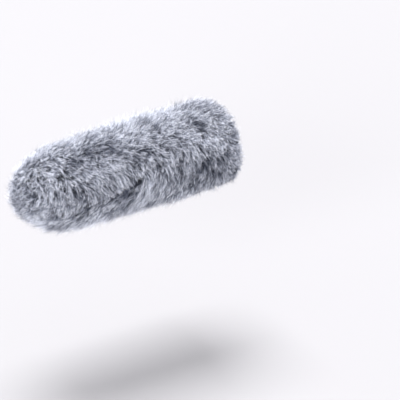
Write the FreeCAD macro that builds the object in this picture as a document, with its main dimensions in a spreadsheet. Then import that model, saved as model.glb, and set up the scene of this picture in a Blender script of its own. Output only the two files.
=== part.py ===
import FreeCAD, Part

import math
import os

import Sketcher

# A furry windscreen for a short shotgun microphone: a long-pile fur cover that slips over
# a foam core, with a rubber collar that grips the microphone.
#
# Row frame, in millimetres: the microphone's axis is X and the nose points to -X. The origin
# is the centre of the collar's rear face, where the microphone leaves the bore towards +X.
# "Depth" is the distance from that face towards the nose, so a point at depth d has x = -d.

SIZES = {
    # the whole windscreen
    "nose_depth": 170.0,         # tip of the pile at the nose
    "dome_depth": 125.0,         # where the tube ends and the domed nose begins
    "fur_rear_depth": 2.0,       # last of the pile behind the mouth
    "pile_nose_radius": 29.4,    # outside of the combed pile where the dome begins
    "pile_rear_radius": 32.2,    # outside of the combed pile at its fullest, near the mouth
    "pile_turn_depth": 14.0,     # where the pile starts to turn in towards the mouth
    "pile_turn_radius": 18.25,   # radius of that turn, in the section
    "pile_lip_radius": 27.7,     # outside of the pile at its rear end
    # the cover's inside
    "slip_gap": 0.3,             # between the foam and the lining, all along
    "lining_thickness": 0.7,     # knitted mesh
    "backing_thickness": 1.6,    # knitted backing of the fur, where the seams are
    "mouth_radius": 23.5,        # inside of the bound mouth, wider than the foam's widest
    "binding_thickness": 0.7,
    "binding_depth": 14.0,       # how far the binding reaches into the mouth
    "binding_rear_depth": 1.2,   # rear face of the binding
    "binding_rim_radius": 26.6,  # outer edge of the binding's turned-out leg
    "elastic_width": 6.0,
    "elastic_thickness": 1.0,
    "elastic_depth": 5.0,        # start of the elastic, inside the hem's channel
    # thread
    "stitch_length": 3.2,
    "stitch_width": 0.8,
    "stitch_height": 0.4,
    "hem_stitch_radius": 25.2,
    "hem_stitch_count": 36.0,
    "nose_stitch_count": 40.0,
    "long_stitch_pitch": 4.4,
    "long_stitch_count": 24.0,
    "long_stitch_depth": 18.0,   # first stitch of the long seam
    "seam_slot_width": 1.4,
    # the foam core
    "core_rear_depth": 4.0,
    "core_edge": 2.0,            # rounding of its rear edge
    "core_rear_radius": 22.8,
    "core_nose_radius": 21.4,
    "core_tip_depth": 160.5,
    "bore_radius": 10.5,         # a 21 mm microphone barrel
    # the collar and the ring inside it
    "flange_radius": 17.0,
    "flange_round": 1.2,
    "neck_radius": 14.0,
    "neck_depth": 19.0,
    "ring_radius": 15.2,
    "notch_width": 2.0,
    "notch_sink": 0.8,
    "notch_length": 3.0,
    "notch_count": 16.0,
}

# Every piece, in the order they are made.
NODES = []


def make_sheet(doc):
    """The driving dimensions, one to a row: its name beside its value."""
    sheet = doc.addObject("Spreadsheet::Sheet", "sizes")
    for row, (name, value) in enumerate(SIZES.items(), start=1):
        sheet.set(f"A{row}", name)
        sheet.set(f"B{row}", str(value))
        sheet.setAlias(f"B{row}", name)
    doc.recompute()
    return sheet


def make_body(doc, label):
    """An empty body for one physical piece, which may be several separate solids."""
    body = doc.addObject("PartDesign::Body", label)
    body.Label = label
    body.AllowCompound = True
    body.Placement = FreeCAD.Placement()
    NODES.append(body)
    return body


def origin_feature(body, role):
    """One of the body's own origin planes or axes."""
    return next(f for f in body.Origin.OriginFeatures if f.Role == role)


def new_sketch(body, name, plane, offset=None):
    """A sketch on one of the body's origin planes, moved along its normal by an expression."""
    sketch = body.newObject("Sketcher::SketchObject", name)
    sketch.AttachmentSupport = (origin_feature(body, plane), [""])
    sketch.MapMode = "FlatFace"
    if offset is not None:
        sketch.setExpression("AttachmentOffset.Base.z", offset)
    return sketch


def hold_coordinate(sketch, kind, geometry, end, expression):
    """Tie one coordinate of a line's end to the sheet, whichever side of the origin it is."""
    value = sketch.evalExpression(expression)
    if value == 0:
        axis = -2 if kind == "DistanceX" else -1
        sketch.addConstraint(Sketcher.Constraint("PointOnObject", geometry, end, axis))
    elif value < 0:
        bond = Sketcher.Constraint(kind, geometry, end, -1, 1, -value)
        sketch.setExpression(f"Constraints[{sketch.addConstraint(bond)}]", f"-({expression})")
    else:
        bond = Sketcher.Constraint(kind, -1, 1, geometry, end, value)
        sketch.setExpression(f"Constraints[{sketch.addConstraint(bond)}]", expression)


def draw_outline(sketch, corners):
    """A closed outline of straight sides; each corner is a pair of expressions."""
    places = [
        FreeCAD.Vector(sketch.evalExpression(across), sketch.evalExpression(up), 0)
        for across, up in corners
    ]
    for start, end in zip(places, places[1:] + places[:1]):
        sketch.addGeometry(Part.LineSegment(start, end), False)
    for index, (across, up) in enumerate(corners):
        following = (index + 1) % len(corners)
        sketch.addConstraint(Sketcher.Constraint("Coincident", index, 2, following, 1))
        hold_coordinate(sketch, "DistanceX", index, 1, across)
        hold_coordinate(sketch, "DistanceY", index, 1, up)


def draw_section(body, name, corners):
    """A closed half section on the XY plane, from (depth, radius) corners."""
    sketch = new_sketch(body, name, "XY_Plane")
    draw_outline(sketch, [(f"-({depth})", radius) for depth, radius in corners])
    return sketch


def draw_stitch(sketch, across, up):
    """A slot one stitch long, along the sketch's first axis, with its middle at a point."""
    reach = "(sizes.stitch_length - sizes.stitch_width) / 2"
    half = "sizes.stitch_width / 2"
    left, right = f"{across} - {reach}", f"{across} + {reach}"
    top, bottom = f"{up} + {half}", f"{up} - {half}"
    draw_outline(sketch, [(left, bottom), (right, bottom), (right, top), (left, top)])
    for side, middle in ((1, right), (3, left)):
        sketch.setConstruction(side, True)
        centre = FreeCAD.Vector(sketch.evalExpression(middle), sketch.evalExpression(up), 0)
        circle = Part.Circle(centre, FreeCAD.Vector(0, 0, 1), sketch.evalExpression(half))
        first = -math.pi / 2 if side == 1 else math.pi / 2
        cap = sketch.addGeometry(Part.ArcOfCircle(circle, first, first + math.pi), False)
        sketch.addConstraint(Sketcher.Constraint("Coincident", cap, 1, side, 1))
        sketch.addConstraint(Sketcher.Constraint("Coincident", cap, 2, side, 2))
        sketch.addConstraint(Sketcher.Constraint("PointOnObject", cap, 3, side))


def turn(body, sketch, feature="PartDesign::Revolution", name="Turn"):
    """Turn a half section about the microphone's axis."""
    turned = body.newObject(feature, name)
    turned.Profile = sketch
    turned.ReferenceAxis = (sketch, ["H_Axis"])
    turned.Angle = 360
    return turned


def half_ellipsoid(body, kind, name, depth, length, radius):
    """The nose half of an ellipsoid: added or cut, centred on the axis at a depth."""
    dome = body.newObject(kind, name)
    dome.AttachmentSupport = (origin_feature(body, "YZ_Plane"), [""])
    dome.MapMode = "FlatFace"
    dome.Angle1 = -90
    dome.Angle2 = 0
    dome.setExpression("AttachmentOffset.Base.z", f"-({depth})")
    dome.setExpression("Radius1", length)
    dome.setExpression("Radius2", radius)
    dome.setExpression("Radius3", radius)
    return dome


def repeat_round(body, feature, count):
    """Repeat a feature evenly round the microphone's axis."""
    pattern = body.newObject("PartDesign::PolarPattern", feature.Name + "Round")
    pattern.Originals = [feature]
    pattern.Axis = (origin_feature(body, "X_Axis"), [""])
    pattern.Angle = 360
    pattern.setExpression("Occurrences", count)
    body.Tip = pattern
    return pattern


def round_edges(body, base, radius, test):
    """Round the edges of a feature whose bounding box passes a test."""
    body.Document.recompute()
    names = [
        f"Edge{number}"
        for number, edge in enumerate(base.Shape.Edges, start=1)
        if test(edge.BoundBox)
    ]
    fillet = body.newObject("PartDesign::Fillet", base.Name + "Rounded")
    fillet.Base = (base, names)
    fillet.setExpression("Radius", radius)
    return fillet


def at_depth(depth):
    """A test for edges that lie wholly at one depth."""
    return lambda box: abs(box.XMin + depth) < 0.01 and abs(box.XMax + depth) < 0.01


# ---- the fur cover ---------------------------------------------------------------------


# The inside of the fur is the outside of the lining, and both follow the foam's taper.
NOSE_LINING_INSIDE = "sizes.core_nose_radius + sizes.slip_gap"
NOSE_FUR_INSIDE = f"{NOSE_LINING_INSIDE} + sizes.lining_thickness"
BINDING_OUTSIDE = "sizes.mouth_radius + sizes.binding_thickness"
HALF_SEAM = "sizes.stitch_length / 2 + 0.3"
SEAM_GROOVE = "sizes.stitch_height + 0.1"


def make_fur_body_panel(doc):
    """The fur panel wrapped into a tube: its backing and its pile, as one thick wall."""
    body = make_body(doc, "fur_body_panel")
    elastic_end = "sizes.elastic_depth + sizes.elastic_width"
    channel_top = f"{BINDING_OUTSIDE} + sizes.elastic_thickness"
    sketch = draw_section(
        body,
        "Section",
        [
            ("sizes.fur_rear_depth", "sizes.pile_lip_radius"),
            ("sizes.fur_rear_depth", BINDING_OUTSIDE),
            ("sizes.elastic_depth", BINDING_OUTSIDE),
            ("sizes.elastic_depth", channel_top),
            (elastic_end, channel_top),
            (elastic_end, BINDING_OUTSIDE),
            ("sizes.binding_depth", BINDING_OUTSIDE),
            ("sizes.dome_depth", NOSE_FUR_INSIDE),
            ("sizes.dome_depth", "sizes.pile_nose_radius"),
            ("sizes.pile_turn_depth", "sizes.pile_rear_radius"),
        ],
    )
    round_the_lip(sketch, len(sketch.Geometry) - 1)
    turn(body, sketch)
    doc.recompute()
    cut_nose_seam_groove(body, f"sizes.dome_depth - ({HALF_SEAM})")
    cut_long_seam(body)


def cut_nose_seam_groove(body, far_depth):
    """Room for the nose seam's thread in the backing, from the seam to another depth."""
    top = f"{NOSE_FUR_INSIDE} + {SEAM_GROOVE}"
    section = draw_section(
        body,
        "SeamGroove",
        [
            ("sizes.dome_depth", top),
            (far_depth, top),
            (far_depth, "sizes.bore_radius"),
            ("sizes.dome_depth", "sizes.bore_radius"),
        ],
    )
    turn(body, section, "PartDesign::Groove", "SeamGrooveCut")
    body.Document.recompute()


def round_the_lip(sketch, last_line):
    """Swap the last straight side for an arc that carries on from the pile's outer line."""
    start = sketch.Geometry[last_line].StartPoint
    end = sketch.Geometry[last_line].EndPoint
    radius = sketch.evalExpression("sizes.pile_turn_radius")
    chord = end - start
    middle = (start + end) * 0.5
    across = FreeCAD.Vector(chord.y, -chord.x, 0).normalize()
    if across.y > 0:
        across = across * -1
    centre = middle + across * math.sqrt(radius**2 - (chord.Length / 2) ** 2)
    first = math.atan2(end.y - centre.y, end.x - centre.x)
    last = math.atan2(start.y - centre.y, start.x - centre.x)
    arc = Part.ArcOfCircle(Part.Circle(centre, FreeCAD.Vector(0, 0, 1), radius), first, last)
    sketch.setConstruction(last_line, True)
    index = sketch.addGeometry(arc, False)
    sketch.addConstraint(Sketcher.Constraint("Coincident", index, 1, last_line, 2))
    sketch.addConstraint(Sketcher.Constraint("Coincident", index, 2, last_line, 1))
    bound = sketch.addConstraint(Sketcher.Constraint("Radius", index, radius))
    sketch.setExpression(f"Constraints[{bound}]", "sizes.pile_turn_radius")


def cut_long_seam(body):
    """The slit in the backing where the panel's two long edges meet, on the -Y side."""
    sketch = new_sketch(body, "SeamSlit", "XZ_Plane")
    near = "-(sizes.binding_depth + 2)"
    far = f"-(sizes.dome_depth - ({HALF_SEAM}))"
    low, high = "-sizes.seam_slot_width / 2", "sizes.seam_slot_width / 2"
    draw_outline(sketch, [(far, low), (near, low), (near, high), (far, high)])
    slit = body.newObject("PartDesign::Pocket", "SeamSlitCut")
    slit.Profile = sketch
    slit.setExpression("Length", f"{BINDING_OUTSIDE} + sizes.backing_thickness")
    slit.Reversed = True


def make_fur_nose_panel(doc):
    """The domed fur panel over the nose."""
    body = make_body(doc, "fur_nose_panel")
    inner = "sizes.core_tip_depth + sizes.slip_gap + sizes.lining_thickness - sizes.dome_depth"
    outer = "sizes.nose_depth - sizes.dome_depth"
    centre = "sizes.dome_depth"
    added = "PartDesign::AdditiveEllipsoid"
    half_ellipsoid(body, added, "Pile", centre, outer, "sizes.pile_nose_radius")
    cut = "PartDesign::SubtractiveEllipsoid"
    half_ellipsoid(body, cut, "Inside", centre, inner, NOSE_FUR_INSIDE)
    cut_nose_seam_groove(body, f"sizes.dome_depth + {HALF_SEAM}")


def make_lining_sleeve(doc):
    """The knitted lining of the tube, from the hem's binding to the nose seam."""
    body = make_body(doc, "lining_sleeve")
    sketch = draw_section(
        body,
        "Section",
        [
            ("sizes.binding_depth", BINDING_OUTSIDE),
            ("sizes.binding_depth", "sizes.mouth_radius"),
            ("sizes.dome_depth", NOSE_LINING_INSIDE),
            ("sizes.dome_depth", NOSE_FUR_INSIDE),
        ],
    )
    turn(body, sketch)


def make_lining_nose_cap(doc):
    """The knitted lining of the dome."""
    body = make_body(doc, "lining_nose_cap")
    outer = "sizes.core_tip_depth + sizes.slip_gap + sizes.lining_thickness - sizes.dome_depth"
    inner = "sizes.core_tip_depth + sizes.slip_gap - sizes.dome_depth"
    centre = "sizes.dome_depth"
    added = "PartDesign::AdditiveEllipsoid"
    half_ellipsoid(body, added, "Knit", centre, outer, NOSE_FUR_INSIDE)
    cut = "PartDesign::SubtractiveEllipsoid"
    half_ellipsoid(body, cut, "Inside", centre, inner, NOSE_LINING_INSIDE)


def make_hem_binding(doc):
    """The tape that binds the mouth: one leg inside, one turned out over the rear edge."""
    body = make_body(doc, "hem_binding")
    sketch = draw_section(
        body,
        "Section",
        [
            ("sizes.binding_rear_depth", "sizes.mouth_radius"),
            ("sizes.binding_depth", "sizes.mouth_radius"),
            ("sizes.binding_depth", BINDING_OUTSIDE),
            ("sizes.fur_rear_depth", BINDING_OUTSIDE),
            ("sizes.fur_rear_depth", "sizes.binding_rim_radius"),
            ("sizes.binding_rear_depth", "sizes.binding_rim_radius"),
        ],
    )
    turn(body, sketch)


def make_hem_elastic(doc):
    """The flat elastic that closes the hem, lying in its channel."""
    body = make_body(doc, "hem_elastic")
    end = "sizes.elastic_depth + sizes.elastic_width"
    top = f"{BINDING_OUTSIDE} + sizes.elastic_thickness"
    sketch = draw_section(
        body,
        "Section",
        [
            ("sizes.elastic_depth", BINDING_OUTSIDE),
            (end, BINDING_OUTSIDE),
            (end, top),
            ("sizes.elastic_depth", top),
        ],
    )
    turn(body, sketch)


def make_hem_stitching(doc):
    """Stitches on the binding's rear face, round the mouth."""
    body = make_body(doc, "hem_stitching")
    sketch = new_sketch(body, "Stitch", "YZ_Plane", "-sizes.binding_rear_depth")
    draw_stitch(sketch, "0", "sizes.hem_stitch_radius")
    pad = body.newObject("PartDesign::Pad", "StitchPad")
    pad.Profile = sketch
    pad.setExpression("Length", "sizes.stitch_height")
    doc.recompute()
    repeat_round(body, pad, "sizes.hem_stitch_count")


def make_nose_seam_thread(doc):
    """Stitches across the round seam between the tube and the nose, under the pile."""
    body = make_body(doc, "nose_seam_thread")
    lift = f"{NOSE_FUR_INSIDE} + 0.05"
    sketch = new_sketch(body, "Stitch", "XY_Plane", lift)
    draw_stitch(sketch, "-sizes.dome_depth", "0")
    pad = body.newObject("PartDesign::Pad", "StitchPad")
    pad.Profile = sketch
    pad.setExpression("Length", "sizes.stitch_height")
    doc.recompute()
    repeat_round(body, pad, "sizes.nose_stitch_count")


def make_body_seam_thread(doc):
    """Stitches along the slit that closes the tube, under the pile."""
    body = make_body(doc, "body_seam_thread")
    lift = f"{BINDING_OUTSIDE} + 0.3"
    sketch = new_sketch(body, "Stitch", "XZ_Plane", lift)
    draw_stitch(sketch, "-sizes.long_stitch_depth", "0")
    pad = body.newObject("PartDesign::Pad", "StitchPad")
    pad.Profile = sketch
    pad.setExpression("Length", "sizes.stitch_height")
    doc.recompute()
    row = body.newObject("PartDesign::LinearPattern", "StitchRow")
    row.Originals = [pad]
    row.Direction = (origin_feature(body, "X_Axis"), [""])
    row.Reversed = True
    length = "sizes.long_stitch_pitch * (sizes.long_stitch_count - 1)"
    row.setExpression("Length", length)
    row.setExpression("Occurrences", "sizes.long_stitch_count")
    body.Tip = row


# ---- the foam core and its collar ------------------------------------------------------


def make_foam_core(doc):
    """The foam tube that the microphone pushes into."""
    body = make_body(doc, "foam_core")
    sketch = draw_section(
        body,
        "Section",
        [
            ("sizes.core_rear_depth", "sizes.ring_radius"),
            ("sizes.neck_depth", "sizes.ring_radius"),
            ("sizes.neck_depth", "sizes.bore_radius"),
            ("sizes.dome_depth", "sizes.bore_radius"),
            ("sizes.dome_depth", "sizes.core_nose_radius"),
            ("sizes.core_rear_depth", "sizes.core_rear_radius"),
        ],
    )
    core = turn(body, sketch)
    depth = SIZES["core_rear_depth"]
    outermost = SIZES["core_rear_radius"]

    def outer_rear_edge(box):
        return at_depth(depth)(box) and abs(box.ZMax - outermost) < 0.01

    round_edges(body, core, "sizes.core_edge", outer_rear_edge)


def make_foam_nose_cap(doc):
    """The solid foam dome glued on the tube's front, which closes the bore."""
    body = make_body(doc, "foam_nose_cap")
    length = "sizes.core_tip_depth - sizes.dome_depth"
    added = "PartDesign::AdditiveEllipsoid"
    half_ellipsoid(body, added, "Dome", "sizes.dome_depth", length, "sizes.core_nose_radius")


def make_rubber_collar(doc):
    """The moulded collar: a flange behind the foam and a neck that grips the microphone."""
    body = make_body(doc, "rubber_collar")
    sketch = draw_section(
        body,
        "Section",
        [
            ("0", "sizes.bore_radius"),
            ("sizes.neck_depth", "sizes.bore_radius"),
            ("sizes.neck_depth", "sizes.neck_radius"),
            ("sizes.core_rear_depth", "sizes.neck_radius"),
            ("sizes.core_rear_depth", "sizes.flange_radius"),
            ("0", "sizes.flange_radius"),
        ],
    )
    collar = turn(body, sketch)
    outermost = SIZES["flange_radius"]

    def outer_rear_edge(box):
        return at_depth(0)(box) and abs(box.ZMax - outermost) < 0.01

    round_edges(body, collar, "sizes.flange_round", outer_rear_edge)
    doc.recompute()
    cut_grip_notches(body)


def cut_grip_notches(body):
    """Shallow notches round the flange, to grip it when the core is pulled off."""
    sketch = new_sketch(body, "Notch", "YZ_Plane")
    low, high = "-sizes.notch_width / 2", "sizes.notch_width / 2"
    floor, top = "sizes.flange_radius - sizes.notch_sink", "sizes.flange_radius + 1"
    draw_outline(sketch, [(low, floor), (high, floor), (high, top), (low, top)])
    cut = body.newObject("PartDesign::Pocket", "NotchCut")
    cut.Profile = sketch
    cut.setExpression("Length", "sizes.notch_length")
    body.Document.recompute()
    repeat_round(body, cut, "sizes.notch_count")


def make_collar_ring(doc):
    """The hard ring moulded round the collar's neck, glued into the foam."""
    body = make_body(doc, "collar_ring")
    sketch = draw_section(
        body,
        "Section",
        [
            ("sizes.core_rear_depth", "sizes.neck_radius"),
            ("sizes.neck_depth", "sizes.neck_radius"),
            ("sizes.neck_depth", "sizes.ring_radius"),
            ("sizes.core_rear_depth", "sizes.ring_radius"),
        ],
    )
    turn(body, sketch)


# ---- check and write -------------------------------------------------------------------


def check(doc):
    """Stop if any object failed, or any piece is empty or not a valid solid."""
    for item in doc.Objects:
        if "Invalid" in item.State or "Error" in item.State:
            raise RuntimeError(f"{item.Label} failed: {item.State}")
    for body in NODES:
        if body.Shape.isNull() or not body.Shape.isValid() or not body.Shape.Solids:
            raise RuntimeError(f"{body.Label} has no valid solid")


def write(folder="parts"):
    """One STEP file for each piece, named after it."""
    os.makedirs(folder, exist_ok=True)
    for body in NODES:
        body.Shape.exportStep(f"{folder}/{body.Label}.step")
        box = body.Shape.BoundBox
        print(
            f"{body.Label:18} {len(body.Shape.Solids):3} solids {body.Shape.Volume:10.1f} mm3"
            f"  x {box.XMin:7.1f}..{box.XMax:5.1f}  z {box.ZMin:6.1f}..{box.ZMax:5.1f}"
        )


def main():
    doc = FreeCAD.newDocument("furry_windscreen")
    make_sheet(doc)
    make_fur_body_panel(doc)
    make_fur_nose_panel(doc)
    make_body_seam_thread(doc)
    make_nose_seam_thread(doc)
    make_lining_sleeve(doc)
    make_lining_nose_cap(doc)
    make_hem_binding(doc)
    make_hem_elastic(doc)
    make_hem_stitching(doc)
    make_foam_core(doc)
    make_foam_nose_cap(doc)
    make_rubber_collar(doc)
    make_collar_ring(doc)
    doc.recompute()
    check(doc)
    write()


main()
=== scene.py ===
# %% [markdown]
# # A furry windscreen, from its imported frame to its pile
#
# The object is the fur cover, foam core and rubber collar that go over a short shotgun
# microphone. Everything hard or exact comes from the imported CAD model, which is loaded as a
# fixed frame. This script adds what CAD can't: cloth, foam, thread and, above all, the pile.
# Lengths are in metres. The microphone's axis is X, the nose points to -X and +Z is up.

import math

import bpy
import numpy as np
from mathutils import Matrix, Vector


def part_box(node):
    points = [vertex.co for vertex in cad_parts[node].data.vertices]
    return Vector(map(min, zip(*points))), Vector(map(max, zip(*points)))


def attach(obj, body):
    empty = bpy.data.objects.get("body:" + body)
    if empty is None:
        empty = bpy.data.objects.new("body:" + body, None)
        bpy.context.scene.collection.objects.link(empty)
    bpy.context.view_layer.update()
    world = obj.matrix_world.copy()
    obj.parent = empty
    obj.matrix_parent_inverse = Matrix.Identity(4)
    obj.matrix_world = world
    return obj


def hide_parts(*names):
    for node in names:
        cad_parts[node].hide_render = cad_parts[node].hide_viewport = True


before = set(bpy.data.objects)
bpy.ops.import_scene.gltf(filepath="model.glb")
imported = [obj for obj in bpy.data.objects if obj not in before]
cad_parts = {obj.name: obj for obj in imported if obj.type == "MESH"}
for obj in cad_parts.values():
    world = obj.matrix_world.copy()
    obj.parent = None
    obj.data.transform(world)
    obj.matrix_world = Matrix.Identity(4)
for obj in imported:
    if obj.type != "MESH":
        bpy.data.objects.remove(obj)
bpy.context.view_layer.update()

# %% [markdown]
# ## Sizes come from the frame
#
# A piece that sits in the right place never needs fitting. The boxes of the CAD nodes give
# every radius and every depth along the axis, so the names below are the only ones needed.

# %% Read the sizes
MM = 0.001
TURN = 2 * math.pi


def low(node):
    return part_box(node)[0]


def high(node):
    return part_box(node)[1]


NOSE_X = low("fur_nose_panel").x
DOME_X = high("fur_nose_panel").x
PILE_REAR_X = high("fur_body_panel").x
PILE_REAR_RADIUS = high("fur_body_panel").z
PILE_NOSE_RADIUS = high("fur_nose_panel").z
LINING_TIP_X = low("lining_nose_cap").x
LINING_REAR_RADIUS = high("lining_sleeve").z
LINING_NOSE_RADIUS = high("lining_nose_cap").z
print(f"pile: {-NOSE_X / MM:.0f} mm long, {2 * PILE_REAR_RADIUS / MM:.1f} mm across")

# %% [markdown]
# ## Camera
#
# The camera stands well back with a long lens, so the tube hardly tapers with distance. It could
# be turned and shifted by eye. Here it looks along its own arm, and the arm's foot is worked out
# from where the middle of the windscreen should lie in view, so no lens shift is needed.

# %% Camera
AZIMUTH, ELEVATION = math.radians(-33), math.radians(27)
LENS_MM, SENSOR_MM = 250, 36
ARM = 1.926
ASIDE, BELOW = 56.5 * MM, 20.9 * MM

back = Vector((
    math.sin(AZIMUTH) * math.cos(ELEVATION),
    -math.cos(AZIMUTH) * math.cos(ELEVATION),
    math.sin(ELEVATION),
))
right = Vector((math.cos(AZIMUTH), math.sin(AZIMUTH), 0))
above = back.cross(right)
middle = Vector(((NOSE_X + high("rubber_collar").x) / 2, 0, 0))

bpy.ops.object.camera_add(location=middle + right * ASIDE - above * BELOW + back * ARM)
camera = bpy.context.object
camera.name = "camera"
camera.rotation_mode = "QUATERNION"
camera.rotation_quaternion = (-back).to_track_quat("-Z", "Y")
camera.data.lens = LENS_MM
camera.data.sensor_width = SENSOR_MM
camera.data.clip_start = 0.05
bpy.context.scene.camera = camera
print("camera at", [round(c, 3) for c in camera.location])

# %% [markdown]
# ## Floor and lights
#
# The floor is one pale plane. A curved sweep would do as well, but a very large plane has no edge
# in view and needs no shaping. The lamps are large and stand far back, because a near lamp fades
# across the floor and leaves a grey horizon. A bright sky fills the shadows between the hairs.

# %% Floor
FLOOR_DROP, FLOOR_SIZE = 0.145, 40

bpy.ops.mesh.primitive_plane_add(size=FLOOR_SIZE, location=(0, 0, -FLOOR_DROP))
floor = bpy.context.object
floor.name = "floor"
floor_paint = bpy.data.materials.new("pale floor")
floor_paint.use_nodes = True
floor_shader = floor_paint.node_tree.nodes["Principled BSDF"]
floor_shader.inputs["Base Color"].default_value = (0.29, 0.285, 0.295, 1)
floor_shader.inputs["Roughness"].default_value = 0.8
floor.data.materials.append(floor_paint)
print(f"floor: {FLOOR_DROP / MM:.0f} mm below the axis")


# %% Lamps and sky
def softbox(name, place, watts, size):
    """A square lamp that faces the middle of the windscreen."""
    bpy.ops.object.light_add(type="AREA", location=place)
    lamp = bpy.context.object
    lamp.name = name
    lamp.data.energy = watts
    lamp.data.size = size
    lamp.rotation_mode = "QUATERNION"
    lamp.rotation_quaternion = (Vector(place) - middle).to_track_quat("Z", "Y")
    print(f"{name}: {watts} W")


softbox("top softbox", (0.22, 1.6, 6.0), 728, 3.2)
softbox("front softbox", (-5.1, -3.6, 1.8), 600, 3.2)
softbox("rear softbox", (4.6, 3.6, 2.8), 80, 2.8)

world = bpy.data.worlds.new("studio")
bpy.context.scene.world = world
world.use_nodes = True
sky = world.node_tree.nodes["Background"]
sky.inputs["Color"].default_value = (0.97, 0.965, 1.0, 1)
sky.inputs["Strength"].default_value = 1.0
bpy.context.scene.view_settings.view_transform = "Standard"

# %% [markdown]
# ## The surface that the pile grows from
#
# Pile hair needs three things of the cloth under it: a place for its root, the way out, and a
# way to stay on the surface as it lies over. A mesh could be searched for all three. The cloth
# is a tapered tube with a half ellipsoid on its end, so they are short formulas instead, which
# take whole arrays of points at once.

# %% Surface of the fur's knitted backing
BACKING = 1.2 * MM
REAR_RADIUS = LINING_REAR_RADIUS + BACKING
DOME_RADIUS = LINING_NOSE_RADIUS + BACKING
DOME_LENGTH = DOME_X - LINING_TIP_X + BACKING
LIP_X = PILE_REAR_X - 0.6 * MM
BLEND_X = -14 * MM
print(f"backing: {2 * REAR_RADIUS / MM:.1f} mm across at the mouth")


def unit(vectors):
    """Vectors scaled to length one."""
    return vectors / np.maximum(np.linalg.norm(vectors, axis=-1, keepdims=True), 1e-12)


def dot(a, b):
    return (a * b).sum(-1, keepdims=True)


def tube_radius(x):
    """Radius of the backing's tube at a place along the axis."""
    share = np.clip((x - DOME_X) / (BLEND_X - DOME_X), 0, 1.12)
    return DOME_RADIUS + (REAR_RADIUS - DOME_RADIUS) * share


def onto_backing(points):
    """Points moved straight in or out to the backing, and the outward normals there."""
    points = points.copy()
    x, y, z = points[..., 0], points[..., 1], points[..., 2]
    radius = np.maximum(np.hypot(y, z), 1e-9)
    on_dome = x < DOME_X
    along = (x - DOME_X) / DOME_LENGTH
    level = np.sqrt(along**2 + (radius / DOME_RADIUS) ** 2)
    shrink = np.where(on_dome, 1 / level, tube_radius(x) / radius)
    points[..., 0] = np.where(on_dome, DOME_X + (x - DOME_X) * shrink, x)
    points[..., 1] = y * shrink
    points[..., 2] = z * shrink
    taper = (REAR_RADIUS - DOME_RADIUS) / (BLEND_X - DOME_X)
    new_radius = np.maximum(radius * shrink, 1e-9)
    along_axis = np.where(on_dome, (points[..., 0] - DOME_X) / DOME_LENGTH**2, -taper)
    share = np.where(on_dome, DOME_RADIUS**2, new_radius)
    normal = np.stack([along_axis, points[..., 1] / share, points[..., 2] / share], axis=-1)
    return points, unit(normal)


# %% [markdown]
# ## Where the clumps stand
#
# Real pile is knitted in close, even rows. Roots drawn at random would leave bald spots and
# crowds. A sunflower spiral spreads any number of roots evenly over a round surface: equal steps
# of area along the meridian, and a golden turn between neighbours. A little jitter hides it.

# %% Even roots
def meridian():
    """Place, radius and area so far, from the lip at the mouth to the tip of the nose."""
    x_tube = np.linspace(LIP_X, DOME_X, 300)
    swing = np.linspace(0, math.pi / 2, 200)[1:]
    x = np.concatenate([x_tube, DOME_X - DOME_LENGTH * np.sin(swing)])
    radius = np.concatenate([tube_radius(x_tube), DOME_RADIUS * np.cos(swing)])
    step = np.hypot(np.diff(x), np.diff(radius))
    area = np.concatenate([[0], np.cumsum(step * (radius[1:] + radius[:-1]) / 2)]) * TURN
    return x, radius, area


def spread_roots(count, jitter, rng):
    """Evenly spread points on the backing, each moved by up to about the jitter."""
    x, radius, area = meridian()
    golden = (1 + math.sqrt(5)) / 2
    order = np.arange(count)
    at = (order + 0.5) / count * area[-1]
    angle = order / golden % 1 * TURN
    place = np.interp(at, area, x)
    out = np.interp(at, area, radius)
    points = np.stack([place, out * np.cos(angle), out * np.sin(angle)], -1)
    points = points + rng.normal(0, jitter / 2, points.shape)
    return onto_backing(points)


print(f"cloth under the pile: {meridian()[2][-1] * 1e4:.0f} square centimetres")

# %% [markdown]
# ## Which way the pile lies
#
# Handled fur is never combed one way. It could be combed by brush in a window, hair by hair; a
# table of strokes says the same and can be read. Each row is one stroke of a hand: a place along
# the axis in millimetres, an angle up the front from straight below, and a direction, where 0 is
# towards the mouth, 90 is down the front and 180 is towards the nose.

# %% Strokes over the pile
STROKES = [
    (-60, 167, 38), (-44, 154, 25), (-22, 166, 80), (-28, 145, 66), (-20, 126, 60),
    (-100, 168, 55), (-82, 155, 12), (-60, 141, 5), (-137, 168, 50), (-118, 153, 35),
    (-105, 145, 60), (-93, 138, 0), (-144, 148, 80), (-132, 139, 62), (-121, 132, 36),
    (-110, 127, 58), (-98, 121, 44), (-156, 137, 128), (-146, 127, 100), (-136, 120, 84),
    (-124, 114, 50), (-113, 109, 62), (-101, 106, 64), (-158, 112, 132), (-149, 106, 112),
    (-139, 101, 126), (-86, 116, 125), (-74, 112, 112), (-62, 108, 110), (-50, 104, 130),
    (-36, 110, 125), (-60, 123, 118), (-24, 100, 50), (-129, 90, 160), (-116, 78, 169),
    (-103, 74, 164), (-90, 86, 162), (-77, 90, 150), (-64, 84, 160), (-50, 78, 165),
    (-36, 72, 170), (-88, 70, 168), (-74, 62, 176), (-158, 82, 165), (-145, 74, 177),
    (-128, 66, 177), (-100, 54, 165), (-60, 52, 165), (-25, 55, 120), (-168, 150, 150),
    (-150, 50, 178), (-136, 50, 180), (-115, 52, 176),
]
print(len(STROKES), "strokes")


# %% Places and directions on the pile
def around(points):
    """The angle of each point up the front from straight below, in degrees."""
    return np.degrees(np.arctan2(-points[..., 1], -points[..., 2]))


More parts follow.
